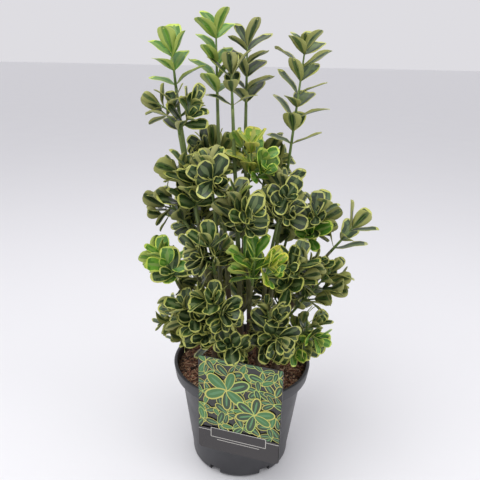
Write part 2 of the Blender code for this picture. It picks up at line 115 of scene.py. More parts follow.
def grain_group():
    """Fine noise for a surface's height, and broad noise for its roughness and colour."""
    group = bpy.data.node_groups.new("surface_grain", "ShaderNodeTree")
    for name, kind in (
        ("Fine Scale", "Float"), ("Broad Scale", "Float"),
        ("Roughness Low", "Float"), ("Roughness High", "Float"),
        ("First Colour", "Color"), ("Second Colour", "Color"),
    ):
        group.interface.new_socket(name, in_out="INPUT", socket_type="NodeSocket" + kind)
    for name, kind in (("Roughness", "Float"), ("Height", "Float"), ("Colour", "Color")):
        group.interface.new_socket(name, in_out="OUTPUT", socket_type="NodeSocket" + kind)
    nodes, links = group.nodes, group.links
    entry = nodes.new("NodeGroupInput")
    leave = nodes.new("NodeGroupOutput")
    place = nodes.new("ShaderNodeTexCoord")

    def noise(scale):
        texture = nodes.new("ShaderNodeTexNoise")
        texture.inputs["Detail"].default_value = NOISE_DETAIL
        links.new(place.outputs["Object"], texture.inputs["Vector"])
        links.new(entry.outputs[scale], texture.inputs["Scale"])
        return texture.outputs["Fac"]

    def stretch(value, band):
        """Stretch the band of the noise that holds most of its values."""
        ranger = nodes.new("ShaderNodeMapRange")
        ranger.inputs["From Min"].default_value, ranger.inputs["From Max"].default_value = band
        links.new(value, ranger.inputs["Value"])
        return ranger

    fine = noise("Fine Scale")
    broad = noise("Broad Scale")
    roughness = stretch(broad, ROUGHNESS_BAND)
    links.new(entry.outputs["Roughness Low"], roughness.inputs["To Min"])
    links.new(entry.outputs["Roughness High"], roughness.inputs["To Max"])
    blend = nodes.new("ShaderNodeMix")
    blend.data_type = "RGBA"
    first, second = [s for s in blend.inputs if s.type == "RGBA"]
    links.new(stretch(broad, COLOUR_BAND).outputs["Result"], blend.inputs["Factor"])
    links.new(entry.outputs["First Colour"], first)
    links.new(entry.outputs["Second Colour"], second)
    links.new(roughness.outputs["Result"], leave.inputs["Roughness"])
    links.new(fine, leave.inputs["Height"])
    links.new(next(s for s in blend.outputs if s.type == "RGBA"), leave.inputs["Colour"])
    return group


surface_grain = grain_group()


def grained_material(name, colours, fine, broad, roughness, relief):
    """A material of one even colour, or of two that drift into each other over the surface.

    Its roughness wanders between two values with noise of the broad scale, and its bumps follow
    noise of the fine scale, in waves per metre. The relief is their height.
    """
    material = bpy.data.materials.new(name)
    material.use_nodes = True
    nodes, links = material.node_tree.nodes, material.node_tree.links
    shader = nodes["Principled BSDF"]
    shader.inputs["Base Color"].default_value = (*colours[0], 1)
    grain = nodes.new("ShaderNodeGroup")
    grain.node_tree = surface_grain
    grain.inputs["Fine Scale"].default_value = fine
    grain.inputs["Broad Scale"].default_value = broad
    grain.inputs["Roughness Low"].default_value, grain.inputs["Roughness High"].default_value = roughness
    links.new(grain.outputs["Roughness"], shader.inputs["Roughness"])
    if len(colours) == 2:
        grain.inputs["First Colour"].default_value = (*colours[0], 1)
        grain.inputs["Second Colour"].default_value = (*colours[1], 1)
        links.new(grain.outputs["Colour"], shader.inputs["Base Color"])
    bump = nodes.new("ShaderNodeBump")
    bump.inputs["Strength"].default_value = 1
    bump.inputs["Distance"].default_value = relief
    links.new(grain.outputs["Height"], bump.inputs["Height"])
    links.new(bump.outputs["Normal"], shader.inputs["Normal"])
    return material


bpy.ops.mesh.primitive_plane_add(size=FLOOR_SIZE, location=(0, 0, -FLOOR_DROP))
floor = bpy.context.object
floor.name = "table_top"
floor.data.materials.append(
    grained_material("table_white", [FLOOR_COLOUR], 90, 6, (0.5, 0.7), 0.2 * MM)
)
floor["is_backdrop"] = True

# Pot: a thin nursery pot, moulded in dark grey plastic, with a collar at its rim and a foot ring
# that is notched for drainage. It stands on its foot ring and carries everything else.
POT_HEIGHT = 150 * MM
POT_WALL = 2 * MM
POT_BASE = 3 * MM
RIM_RADIUS = 95 * MM
RIM_WIDTH = 4.5 * MM
RIM_ROUND = 1.4 * MM
COLLAR_FOOT = POT_HEIGHT - 17 * MM
COLLAR_RADIUS = 93 * MM
COLLAR_BEVEL_ACROSS = 0.8 * MM
COLLAR_BEVEL_DOWN = 1.2 * MM
WALL_TOP_RADIUS = 85 * MM
WALL_FOOT_RADIUS = 69.5 * MM
FOOT_RADIUS = 66.5 * MM
FOOT_HEIGHT = 10 * MM
FOOT_ROUND = 6 * MM
FOOT_STEP_ACROSS = 0.3 * MM
FOOT_STEP_UP = 4 * MM
NOTCHES = 6
NOTCH_WIDTH = 16 * MM
NOTCH_DEPTH = 6 * MM
POT_STEPS = 120
POT_SHARP_ANGLE = math.radians(35)
POT_GREYS = [(0.024, 0.024, 0.028), (0.040, 0.040, 0.044)]


def new_piece(name, mesh, *materials):
    """A mesh object with its materials in the order of their slots."""
    piece = bpy.data.objects.new(name, mesh)
    for material in materials:
        mesh.materials.append(material)
    bpy.context.scene.collection.objects.link(piece)
    return piece


def apply_modifiers(piece):
    """Replace the piece's mesh by what its modifiers make of it."""
    graph = bpy.context.evaluated_depsgraph_get()
    graph.update()
    mesh = bpy.data.meshes.new_from_object(piece.evaluated_get(graph))
    piece.modifiers.clear()
    piece.data = mesh


def turned(name, profile, steps):
    """Turn a profile of (radius, height) points about the Z axis."""
    mesh = bpy.data.meshes.new(name)
    points = [(radius, 0, height) for radius, height in profile]
    mesh.from_pydata(points, [(i, i + 1) for i in range(len(points) - 1)], [])
    piece = new_piece(name, mesh)
    screw = piece.modifiers.new("turn", "SCREW")
    screw.steps = screw.render_steps = steps
    screw.use_merge_vertices = True
    screw.merge_threshold = 0.01 * MM
    apply_modifiers(piece)
    return piece


def on_circle(radius, angle, height):
    return Vector((radius * math.cos(angle), radius * math.sin(angle), height))


def corner(middle, radius, start, end, steps=4):
    """Points of a rounded corner in a profile, between two angles in degrees."""
    angles = [math.radians(start + (end - start) * i / steps) for i in range(steps + 1)]
    return [
        (middle[0] + radius * math.cos(angle), middle[1] + radius * math.sin(angle))
        for angle in angles
    ]


pot = turned("nursery_pot", [
    (0, POT_BASE),
    (FOOT_RADIUS - POT_WALL, POT_BASE),
    (WALL_FOOT_RADIUS - POT_WALL, FOOT_HEIGHT),
    (WALL_TOP_RADIUS - POT_WALL, COLLAR_FOOT),
    (RIM_RADIUS - RIM_WIDTH, COLLAR_FOOT + POT_WALL),
    *corner((RIM_RADIUS - RIM_WIDTH + RIM_ROUND, POT_HEIGHT - RIM_ROUND), RIM_ROUND, 180, 90),
    *corner((RIM_RADIUS - RIM_ROUND, POT_HEIGHT - RIM_ROUND), RIM_ROUND, 90, 0),
    *corner((COLLAR_RADIUS - RIM_ROUND, COLLAR_FOOT + RIM_ROUND), RIM_ROUND, 0, -90),
    (WALL_TOP_RADIUS + COLLAR_BEVEL_ACROSS, COLLAR_FOOT),
    (WALL_TOP_RADIUS, COLLAR_FOOT - COLLAR_BEVEL_DOWN),
    (WALL_FOOT_RADIUS + FOOT_STEP_ACROSS, FOOT_HEIGHT + FOOT_STEP_UP),
    *corner((WALL_FOOT_RADIUS - FOOT_ROUND, FOOT_ROUND), FOOT_ROUND, 0, -90, 5),
    (0, 0),
], POT_STEPS)
notch_cutters = []
for number in range(NOTCHES):
    angle = 2 * math.pi * number / NOTCHES
    bpy.ops.mesh.primitive_cube_add(size=1)
    cutter = bpy.context.object
    cutter.data.transform(Matrix.Diagonal((NOTCH_WIDTH, NOTCH_WIDTH, 2 * FOOT_HEIGHT, 1)))
    cutter.rotation_euler.z = angle
    cutter.location = on_circle(FOOT_RADIUS - NOTCH_DEPTH + NOTCH_WIDTH / 2, angle, 0)
    cut = pot.modifiers.new("notch", "BOOLEAN")
    cut.operation = "DIFFERENCE"
    cut.object = cutter
    notch_cutters.append(cutter)
apply_modifiers(pot)
for cutter in notch_cutters:
    bpy.data.objects.remove(cutter, do_unlink=True)
pot.data.shade_smooth()
pot.data.set_sharp_from_angle(angle=POT_SHARP_ANGLE)
pot.data.materials.append(
    grained_material("pot_plastic", POT_GREYS, 900, 28, (0.33, 0.5), 0.04 * MM)
)
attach(pot, "root")
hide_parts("pot")

# Growing medium: moist bark chips and wood fibre that fill the pot to a finger's width below the
# rim. A lumpy bed lies under loose chips of four browns, as they were poured in and settled.
MEDIUM_LEVEL = 141 * MM
MEDIUM_EDGE = RIM_RADIUS - RIM_WIDTH - 0.5 * MM
BED_DROP = 2 * MM
BED_SAG = 3 * MM
BED_FLAT_RADIUS = 60 * MM
BED_RINGS = 46
BED_STEPS = 150
LUMP_HEIGHT = 0.5 * MM
LUMP_WAVES_X = 420
LUMP_WAVES_Y = 390
LUMP_WAVES_ACROSS = 900
BED_BROWNS = [(0.055, 0.03, 0.02), (0.20, 0.11, 0.065)]
CHIPS = 3600
CHIP_LENGTHS = (3, 11)
CHIP_WIDTHS = (0.8, 2.6)
CHIP_THICKNESSES = (0.5, 1.3)
CHIP_LIFTS = (0.2, 2.2)
CHIP_SLOPE = 0.3
CHIP_ROLL = 0.5
CHIP_RAGGEDNESS = (0.6, 1)
CHIP_EDGE = MEDIUM_EDGE - 4 * MM
CHIP_BROWNS = {
    "chip_tan": (0.42, 0.235, 0.135),
    "chip_russet": (0.27, 0.12, 0.07),
    "chip_straw": (0.56, 0.37, 0.235),
    "chip_dark": (0.055, 0.03, 0.022),
}
CHIP_SLOT_CHANCES = (0, 0, 1, 1, 2, 3)


def bed_height(radius, angle):
    """Height of the bed: level in the middle, lower at the wall, and lumpy."""
    x, y = radius * math.cos(angle), radius * math.sin(angle)
    lumps = math.sin(x * LUMP_WAVES_X + 1) * math.sin(y * LUMP_WAVES_Y + 2)
    lumps += math.sin((x + y) * LUMP_WAVES_ACROSS)
    sag = max(0.0, radius - BED_FLAT_RADIUS) / (MEDIUM_EDGE - BED_FLAT_RADIUS)
    return MEDIUM_LEVEL - BED_DROP - BED_SAG * sag + LUMP_HEIGHT * lumps


bed_points = [(0, 0, bed_height(0, 0))]
for ring in range(1, BED_RINGS + 1):
    radius = MEDIUM_EDGE * ring / BED_RINGS
    for step in range(BED_STEPS):
        angle = 2 * math.pi * step / BED_STEPS
        bed_points.append(on_circle(radius, angle, bed_height(radius, angle)))
bed_faces = []
for ring in range(BED_RINGS - 1):
    for step in range(BED_STEPS):
        a = 1 + ring * BED_STEPS + step
        b = 1 + ring * BED_STEPS + (step + 1) % BED_STEPS
        bed_faces.append((a, a + BED_STEPS, b + BED_STEPS, b))
bed_faces += [(0, 1 + step, 1 + (step + 1) % BED_STEPS) for step in range(BED_STEPS)]
bed_mesh = bpy.data.meshes.new("medium_bed")
bed_mesh.from_pydata(bed_points, [], bed_faces)
bed_brown = grained_material("bed_brown", BED_BROWNS, 700, 160, (0.8, 0.95), 0.8 * MM)
bed = new_piece("medium_bed", bed_mesh, bed_brown)
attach(bed, "root")
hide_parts("growing_medium")


def mesh_from_arrays(name, points, faces, slots=None):
    """A mesh from its points and its faces of equal side counts, with each face's material slot."""
    points = np.asarray(points, dtype=np.float32)
    faces = np.asarray(faces, dtype=np.int32)
    count, sides = faces.shape
    mesh = bpy.data.meshes.new(name)
    mesh.vertices.add(len(points))
    mesh.vertices.foreach_set("co", points.ravel())
    mesh.loops.add(count * sides)
    mesh.loops.foreach_set("vertex_index", faces.ravel())
    mesh.polygons.add(count)
    mesh.polygons.foreach_set("loop_start", np.arange(0, count * sides, sides, dtype=np.int32))
    if slots is not None:
        mesh.polygons.foreach_set("material_index", np.asarray(slots, dtype=np.int32))
    mesh.update(calc_edges=True)
    return mesh


CHIP_SIDES = ((0, 1, 3, 2), (4, 6, 7, 5), (0, 4, 5, 1), (2, 3, 7, 6), (0, 2, 6, 4), (1, 5, 7, 3))
chip_draw = random.Random("bark chips")
chip_points, chip_faces, chip_slots = [], [], []
for _ in range(CHIPS):
    radius = CHIP_EDGE * math.sqrt(chip_draw.random())
    angle = chip_draw.uniform(0, 2 * math.pi)
    length = chip_draw.uniform(*CHIP_LENGTHS) * MM
    width = chip_draw.uniform(*CHIP_WIDTHS) * MM
    thickness = chip_draw.uniform(*CHIP_THICKNESSES) * MM
    lie = Matrix.Rotation(chip_draw.uniform(0, 2 * math.pi), 3, "Z")
    lie = lie @ Matrix.Rotation(chip_draw.gauss(0, CHIP_SLOPE), 3, "Y")
    lie = lie @ Matrix.Rotation(chip_draw.gauss(0, CHIP_ROLL), 3, "X")
    height = bed_height(radius, angle) + chip_draw.uniform(*CHIP_LIFTS) * MM
    place = on_circle(radius, angle, height)
    half_size = Vector((length, width, thickness)) * 0.5
    first = len(chip_points)
    for z in (-1, 1):
        for y in (-1, 1):
            for x in (-1, 1):
                ragged = half_size * chip_draw.uniform(*CHIP_RAGGEDNESS)
                chip_points.append(place + lie @ Vector((x * ragged.x, y * ragged.y, z * ragged.z)))
    chip_faces += [[first + i for i in side] for side in CHIP_SIDES]
    chip_slots += [chip_draw.choice(CHIP_SLOT_CHANCES)] * len(CHIP_SIDES)
chip_materials = [
    grained_material(name, [colour], 1400, 200, (0.75, 0.95), 0.3 * MM)
    for name, colour in CHIP_BROWNS.items()
]
chip_mesh = mesh_from_arrays("bark_chips", chip_points, chip_faces, chip_slots)
chips = new_piece("bark_chips", chip_mesh, *chip_materials)
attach(chips, "root")

# Label card: a thin glossy plastic card with rounded corners, hung on the rim by a hook at its
# middle. It is printed with leaves above a dark band that has a pale frame.
CARD_WIDTH = 107 * MM
CARD_HEIGHT = 137 * MM
CARD_THICKNESS = 1.0 * MM
CARD_CORNER = 4 * MM
CARD_LEFT_OF_RIM = 26 * MM
CARD_TURN = math.radians(17)
CARD_CENTRE_HEIGHT = 137 * MM
CARD_BLACK = (0.012, 0.012, 0.010)
CARD_COAT = 0.5
CARD_COAT_ROUGHNESS = 0.12
HOOK_WIDTH = 20 * MM
HOOK_DROP = 7 * MM
HOOK_THICKNESS = 0.6 * MM
GAP = 0.3 * MM

card_turn = Matrix.Rotation(-CARD_TURN, 4, "Z")
card_place = card_turn @ Vector((CARD_LEFT_OF_RIM, -(RIM_RADIUS + GAP), 0))
card_place.z = CARD_CENTRE_HEIGHT
card_frame = Matrix.Translation(card_place) @ card_turn


def rounded_sheet(width, thickness, height, radius, segments):
    """A sheet that stands in X and Z, with its face at Y 0 and its four corners rounded."""
    sheet = bmesh.new()
    shape = Matrix.Translation((0, -thickness / 2, 0)) @ Matrix.Diagonal((width, thickness, height, 1))
    bmesh.ops.create_cube(sheet, size=1, matrix=shape)
    corners = [e for e in sheet.edges if abs(e.verts[0].co.y - e.verts[1].co.y) > thickness / 2]
    bmesh.ops.bevel(sheet, geom=corners, offset=radius, segments=segments, affect="EDGES", profile=0.5)
    mesh = bpy.data.meshes.new("label_card_sheet")
    sheet.to_mesh(mesh)
    sheet.free()
    return mesh


def glossy_material(name, colour):
    """Smooth print under a clear gloss."""
    material = grained_material(name, [colour], 60, 12, (0.22, 0.34), 0.02 * MM)
    shader = material.node_tree.nodes["Principled BSDF"]
    shader.inputs["Coat Weight"].default_value = CARD_COAT
    shader.inputs["Coat Roughness"].default_value = CARD_COAT_ROUGHNESS
    return material


card_dark = glossy_material("card_dark", CARD_BLACK)
card_mesh = rounded_sheet(CARD_WIDTH, CARD_THICKNESS, CARD_HEIGHT, CARD_CORNER, 8)
card_mesh.transform(card_frame)
card = new_piece("label_card_sheet", card_mesh, card_dark)
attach(card, "root")
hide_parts("label_card")

hook_top = POT_HEIGHT - CARD_CENTRE_HEIGHT + GAP + CARD_THICKNESS / 2
rim_falls_away = RIM_RADIUS - math.sqrt(RIM_RADIUS ** 2 - (CARD_LEFT_OF_RIM + HOOK_WIDTH / 2) ** 2)
hook_reach = GAP + rim_falls_away + RIM_WIDTH + 2 * CARD_THICKNESS
hook_path = [
    (-0.2 * MM, hook_top),
    (hook_reach - 1.5 * MM, hook_top),
    (hook_reach - 0.8 * MM, hook_top - 0.4 * MM),
    (hook_reach - 0.5 * MM, hook_top - 1.2 * MM),
    (hook_reach - 0.5 * MM, hook_top - HOOK_DROP),
]
hook_points = [(x, y, z) for y, z in hook_path for x in (-HOOK_WIDTH / 2, HOOK_WIDTH / 2)]
hook_faces = [(2 * i, 2 * i + 1, 2 * i + 3, 2 * i + 2) for i in range(len(hook_path) - 1)]
hook = new_piece("label_hook", mesh_from_arrays("label_hook", hook_points, hook_faces), card_dark)
thicken = hook.modifiers.new("thickness", "SOLIDIFY")
thicken.thickness = HOOK_THICKNESS
thicken.offset = 0
apply_modifiers(hook)
hook.data.transform(card_frame)
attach(hook, "root")

INKS = {
    "ink_yellow": (0.55, 0.52, 0.11),
    "ink_lime": (0.42, 0.55, 0.12),
    "ink_leaf_dark": (0.018, 0.05, 0.015),
    "ink_leaf_green": (0.05, 0.17, 0.04),
    "ink_leaf_pale": (0.09, 0.24, 0.09),
    "ink_black": (0.014, 0.010, 0.011),
    "ink_cream": (0.62, 0.60, 0.55),
}
YELLOW, LIME, DARK_GREEN, GREEN, PALE_GREEN, BLACK, CREAM = range(len(INKS))
INK_LIFT = 0.02 * MM
INK_STEP = 0.004 * MM
PRINT_INSET = 0.6 * MM
PRINTED_LEAF_POINTS = 20
LEAF_ROWS_PRINTED = 7
LEAF_COLUMNS_PRINTED = 6
ROW_PITCH = 15 * MM
COLUMN_PITCH = 18 * MM
LARGE_ROSETTES = (((-16 * MM, 26 * MM), 30 * MM), ((20 * MM, -2 * MM), 27 * MM))
LARGE_ROSETTE_LEAVES = 6
BAND_HEIGHT = 33 * MM
FRAME_HALF_WIDTH = 36 * MM
FRAME_BELOW_BAND_TOP = 12 * MM
FRAME_ABOVE_BAND_TOP = 1.5 * MM
LINE_WIDTH = 0.7 * MM

ink_points, ink_faces, ink_slots = [], [], []


def print_shape(outline, ink):
    """One flat shape on the card's face, over what is printed already and kept on the card."""
    first = len(ink_points)
    half_width = CARD_WIDTH / 2 - PRINT_INSET
    half_height = CARD_HEIGHT / 2 - PRINT_INSET
    level = -CARD_THICKNESS - INK_LIFT - (len(ink_faces) + 1) * INK_STEP
    for x, z in outline:
        x = max(-half_width, min(half_width, x))
        z = max(-half_height, min(half_height, z))
        ink_points.append(card_frame @ Vector((x, level, z)))
    ink_faces.append(tuple(range(first, len(ink_points))))
    ink_slots.append(ink)


def leaf_outline(place, angle, length, width, inset):
    """Outline of a printed leaf from its root, wider to its tip and drawn in by an inset."""
    points = []
    for i in range(PRINTED_LEAF_POINTS):
        t = 2 * math.pi * i / PRINTED_LEAF_POINTS
        along = length * (0.5 - 0.5 * math.cos(t))
        aside = width * 0.5 * math.sin(t) * (0.8 + 0.4 * along / length)
        along = length / 2 + (along - length / 2) * (1 - inset * 1.2 * width / length)
        aside *= 1 - inset
        points.append((
            place[0] + along * math.cos(angle) - aside * math.sin(angle),
            place[1] + along * math.sin(angle) + aside * math.cos(angle),
        ))
    return points


def print_leaf(place, angle, length, draw):
    """A leaf in three inks: its margin, its middle and a pale streak."""
    width = length * draw.uniform(0.42, 0.56)
    margin = draw.choice((YELLOW, YELLOW, YELLOW, LIME))
    middle = draw.choice((DARK_GREEN, DARK_GREEN, DARK_GREEN, GREEN))
    print_shape(leaf_outline(place, angle, length, width, 0), margin)
    print_shape(leaf_outline(place, angle, length, width, draw.uniform(0.14, 0.26)), middle)
    streak = leaf_outline(place, angle, length * 0.82, width * 0.3, draw.uniform(0.2, 0.5))
    print_shape(streak, PALE_GREEN)


def print_line(start, end, width, ink):
    start, end = Vector(start), Vector(end)
    along = (end - start).normalized()
    side = Vector((-along.y, along.x)) * width / 2
    print_shape([tuple(p) for p in (start + side, start - side, end - side, end + side)], ink)


ink_draw = random.Random("printed leaves")
for row in range(LEAF_ROWS_PRINTED):
    for column in range(LEAF_COLUMNS_PRINTED):
        centre = (
            (column - (LEAF_COLUMNS_PRINTED - 1) / 2) * COLUMN_PITCH + ink_draw.uniform(-6, 6) * MM,
            CARD_HEIGHT / 2 - (row + 0.4) * ROW_PITCH + ink_draw.uniform(-5, 5) * MM,
        )
        facing = ink_draw.uniform(0, 2 * math.pi)
        for k in range(3):
            angle = facing + k * 2.1 + ink_draw.uniform(-0.3, 0.3)
            print_leaf(centre, angle, ink_draw.uniform(13, 21) * MM, ink_draw)
for centre, size in LARGE_ROSETTES:
    for k in range(LARGE_ROSETTE_LEAVES):
        angle = 0.4 + k * 2 * math.pi / LARGE_ROSETTE_LEAVES + ink_draw.uniform(-0.2, 0.2)
        print_leaf(centre, angle, size * ink_draw.uniform(0.85, 1.1), ink_draw)

card_right = CARD_WIDTH / 2
card_foot = -CARD_HEIGHT / 2
band_top = card_foot + BAND_HEIGHT
frame_low = band_top - FRAME_BELOW_BAND_TOP
frame_high = band_top + FRAME_ABOVE_BAND_TOP
print_shape([
    (-card_right, band_top),
    (card_right, band_top),
    (card_right, card_foot + CARD_CORNER),
    (card_right - CARD_CORNER, card_foot),
    (-card_right + CARD_CORNER, card_foot),
    (-card_right, card_foot + CARD_CORNER),
], BLACK)
low_left, low_right = (-FRAME_HALF_WIDTH, frame_low), (FRAME_HALF_WIDTH, frame_low)
high_left, high_right = (-FRAME_HALF_WIDTH, frame_high), (FRAME_HALF_WIDTH, frame_high)
print_shape([low_left, low_right, high_right, high_left], BLACK)
ribbon = band_top - 3 * MM
underline = frame_low - 3.5 * MM
for start, end in (
    (low_left, low_right),
    (high_left, high_right),
    (low_left, high_left),
    (low_right, high_right),
    ((-card_right, ribbon), (-FRAME_HALF_WIDTH, ribbon)),
    ((FRAME_HALF_WIDTH, ribbon), (card_right, ribbon)),
    ((-28 * MM, underline), (28 * MM, underline)),
):
    print_line(start, end, LINE_WIDTH, CREAM)
ink_mesh = bpy.data.meshes.new("label_print")
ink_mesh.from_pydata(ink_points, [], ink_faces)
ink_mesh.polygons.foreach_set("material_index", ink_slots)
label_print = new_piece(
    "label_print", ink_mesh, *[glossy_material(name, colour) for name, colour in INKS.items()]
)
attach(label_print, "root")

# Stems and boughs: thin live wood, brown and ribbed near the medium and green higher up. They
# grow by one rule from their feet in the medium to the ends where the leafy shoots begin.
UP = Vector((0, 0, 1))
FOOT_FLARE = 6.5 * MM
FLARE_HEIGHT = 2 * MM
STEM_RADIUS = 4.2 * MM
BOUGH_RADIUS = 2.6 * MM
TIP_RADIUS = 1.9 * MM
STRAIGHT_END = 5 * MM
CURVE_PULL = 0.36
STEM_POINTS = 30
BOUGH_POINTS = 20
BOUGH_RISE = 0.8
BOUGH_SHARE = 0.8
LIMB_SIDES = 10
LIMB_RIBS = 0.035
BROWN_BELOW = 215 * MM
OLIVE_BELOW = 330 * MM
BARK_WANDER = 25 * MM
BARKS = {
    "bark_brown": [(0.075, 0.045, 0.028), (0.16, 0.11, 0.07)],
    "bark_olive": [(0.10, 0.10, 0.04), (0.17, 0.17, 0.07)],
    "bark_green": [(0.11, 0.16, 0.045), (0.20, 0.26, 0.08)],
}
BROWN, OLIVE, LIVE_GREEN = range(len(BARKS))

# Each stem's foot in millimetres, and the mass of leaves that it ends in
STEMS = {
    "left": ((-38, 2), "left_crown"),
    "middle_left": ((-18, 24), "middle_left_crown"),
    "middle_right": ((10, 24), "middle_right_crown"),
    "right": ((34, 6), "right_shoot"),
    "front_left": ((-27, -24), "left_centre_upper"),
    "front": ((-3, -16), "middle_front_crown"),
    "front_right": ((22, -28), "right_centre_upper"),
    "right_wing": ((47, -12), "right_wing_tip"),
    "back_left": ((-34, 36), "back_left_middle"),
    "back": ((-2, 46), "back_middle"),
    "back_right": ((33, 36), "back_right_middle"),
}

# Each mass in millimetres: its stem, the height of its fork, or 0 for the stem's own top, the tip
# and the length of its leading shoot, or 0 where that starts on the stem, the shoot's slope, the
# reach of the leaves, pairs of leaves, side twigs, leaf length, and how young and bright it is
Mass = namedtuple("Mass", "stem fork tip shoot slope reach pairs twigs leaf brightness")
MASSES = {
    "left_crown": Mass("left", 0, (-90, 12, 552), 40, 0.10, 38, 3, 0, 38, 0.35),
    "left_shoulder": Mass("left", 392, (-86, -10, 497), 38, 0.15, 40, 3, 1, 37, 0.25),
    "middle_left_crown": Mass("middle_left", 0, (-39, 22, 574), 74, 0.03, 38, 4, 0, 39, 0.35),
    "middle_front_crown": Mass("front", 0, (-20, 0, 530), 40, 0.05, 34, 3, 0, 34, 0.2),
    "middle_right_crown": Mass("middle_right", 0, (-2, 30, 562), 70, 0.00, 40, 4, 0, 37, 0.35),
    "right_shoot": Mass("right", 0, (66, 20, 558), 145, 0.10, 40, 6, 0, 38, 0.25),
    "bright_centre": Mass("front", 330, (6, -6, 446), 45, 0.10, 36, 3, 1, 36, 0.9),
    "left_upper": Mass("left", 300, (-69, -24, 420), 46, 0.18, 46, 3, 2, 40, 0.15),
    "left_wing": Mass("left", 255, (-97, -4, 378), 34, 0.70, 34, 2, 1, 38, 0.1),
    "left_centre_upper": Mass("front_left", 0, (-42, -44, 428), 44, 0.14, 40, 3, 2, 38, 0.2),
    "centre_upper": Mass("front", 285, (-10, -58, 396), 46, 0.24, 40, 3, 2, 38, 0.35),
    "right_centre_upper": Mass("front_right", 0, (48, -28, 403), 46, 0.20, 42, 3, 2, 38, 0.1),
    "right_wing_tip": Mass("right_wing", 0, (136, -10, 348), 42, 0.75, 38, 3, 0, 38, 0.3),
    "right_wing_mid": Mass("right_wing", 262, (94, -2, 366), 44, 0.25, 40, 3, 1, 38, 0.3),
    "right_wing_low": Mass("right_wing", 215, (112, -18, 292), 0, 0.70, 36, 3, 1, 36, 0.2),
    "left_low": Mass("left", 212, (-102, -30, 312), 42, 0.45, 40, 3, 2, 38, 0.8),
    "left_centre_low": Mass("front_left", 235, (-42, -62, 342), 44, 0.26, 40, 3, 2, 38, 0.3),
    "centre_low": Mass("front", 225, (12, -70, 330), 44, 0.30, 40, 3, 2, 38, 1.0),
    "right_centre_low": Mass("front_right", 215, (64, -50, 316), 44, 0.25, 40, 3, 2, 38, 0.1),
    "left_bottom": Mass("front_left", 168, (-74, -48, 250), 0, 0.50, 42, 3, 2, 38, 0.1),
    "centre_rosette": Mass("front_left", 198, (-36, -82, 276), 0, 0.80, 36, 2, 1, 36, 0.3),
    "front_rosette": Mass("front", 168, (-16, -86, 222), 0, 0.90, 38, 3, 1, 36, 0.5),
    "right_centre_bottom": Mass("front_right", 165, (38, -74, 246), 0, 0.60, 40, 3, 2, 38, 0.1),
    "right_bottom": Mass("right_wing", 163, (94, -30, 220), 0, 0.80, 36, 3, 1, 36, 0.6),
    "left_foot": Mass("left", 165, (-90, -6, 222), 0, 0.80, 38, 3, 1, 36, 0.4),
    "back_left_bottom": Mass("back_left", 168, (-66, 66, 250), 0, 0.60, 44, 3, 2, 40, 0.2),
    "back_bottom": Mass("back", 170, (-2, 92, 252), 0, 0.60, 44, 3, 2, 40, 0.3),
    "back_right_bottom": Mass("back_right", 168, (70, 62, 254), 0, 0.60, 44, 3, 2, 40, 0.2),
    "back_left_middle": Mass("back_left", 0, (-70, 58, 350), 48, 0.30, 46, 3, 2, 41, 0.2),
    "back_middle": Mass("back", 0, (-2, 78, 350), 50, 0.30, 46, 3, 2, 41, 0.4),
    "back_right_middle": Mass("back_right", 0, (68, 54, 350), 48, 0.30, 46, 3, 2, 41, 0.2),
    "back_left_upper": Mass("middle_left", 318, (-44, 46, 438), 46, 0.20, 42, 3, 2, 39, 0.3),
    "back_right_upper": Mass("middle_right", 318, (28, 48, 432), 46, 0.20, 42, 3, 2, 39, 0.3),
}


def bend(start, start_way, end, end_way, count):
    """Points on a smooth curve that leaves start along start_way and reaches end along end_way."""
    first = start + start_way * STRAIGHT_END
    last = end - end_way * STRAIGHT_END
    pull = (last - first).length * CURVE_PULL
    a, b, c, d = first, first + start_way * pull, last - end_way * pull, last
    points = [start]
    for i in range(count):
        t = i / (count - 1)
        points.append(
            a * (1 - t) ** 3 + b * (3 * t * (1 - t) ** 2) + c * (3 * t * t * (1 - t)) + d * t ** 3
        )
    points.append(end)
    return points


def shoot_way(tip, slope):
    """A shoot's direction: up, and outward from the pot's axis by its slope."""
    outward = Vector((tip.x, tip.y, 0)).normalized()
    return (UP + outward * slope).normalized()


def point_at_height(points, radii, height):
    """The place, direction and radius of a limb where it passes a height."""
    for i in range(len(points) - 1):
        low, high = points[i], points[i + 1]
        if low.z <= height <= high.z:
            t = (height - low.z) / (high.z - low.z)
            return low.lerp(high, t), (high - low).normalized(), radii[i] * (1 - t) + radii[i + 1] * t
    raise ValueError("the limb doesn't pass this height")


def first_slot(point):
    return 0


class TubeMaker:
    """Tapering round limbs joined in one mesh, with ribs and scars in their radius."""

    def __init__(self, sides, ribs):
        self.sides = sides
        self.ribs = ribs
        self.points, self.faces, self.slots = [], [], []

    def add(self, path, radii, slot_at=first_slot):
        side = (path[1] - path[0]).orthogonal().normalized()
        first = len(self.points)
        for i, (point, radius) in enumerate(zip(path, radii)):
            way = (path[min(i + 1, len(path) - 1)] - path[max(i - 1, 0)]).normalized()
            side = (side - way * side.dot(way)).normalized()
            for k in range(self.sides):
                angle = 2 * math.pi * k / self.sides
                rough = 1 + self.ribs * math.sin(3 * angle + i * 0.7) + self.ribs * math.sin(i * 2.1 + k)
                self.points.append(point + Matrix.Rotation(angle, 3, way) @ side * radius * rough)
        for i in range(len(path) - 1):
            for k in range(self.sides):
                a = first + i * self.sides + k
                b = first + i * self.sides + (k + 1) % self.sides
                self.faces.append((a, b, b + self.sides, a + self.sides))
                self.slots.append(slot_at(path[i]))
        for ring, order in ((0, -1), (len(path) - 1, 1)):
            ends = [first + ring * self.sides + k for k in range(self.sides)][::order]
            for k in range(1, self.sides - 2, 2):
                self.faces.append((ends[0], ends[k], ends[k + 1], ends[k + 2]))
                self.slots.append(slot_at(path[ring]))


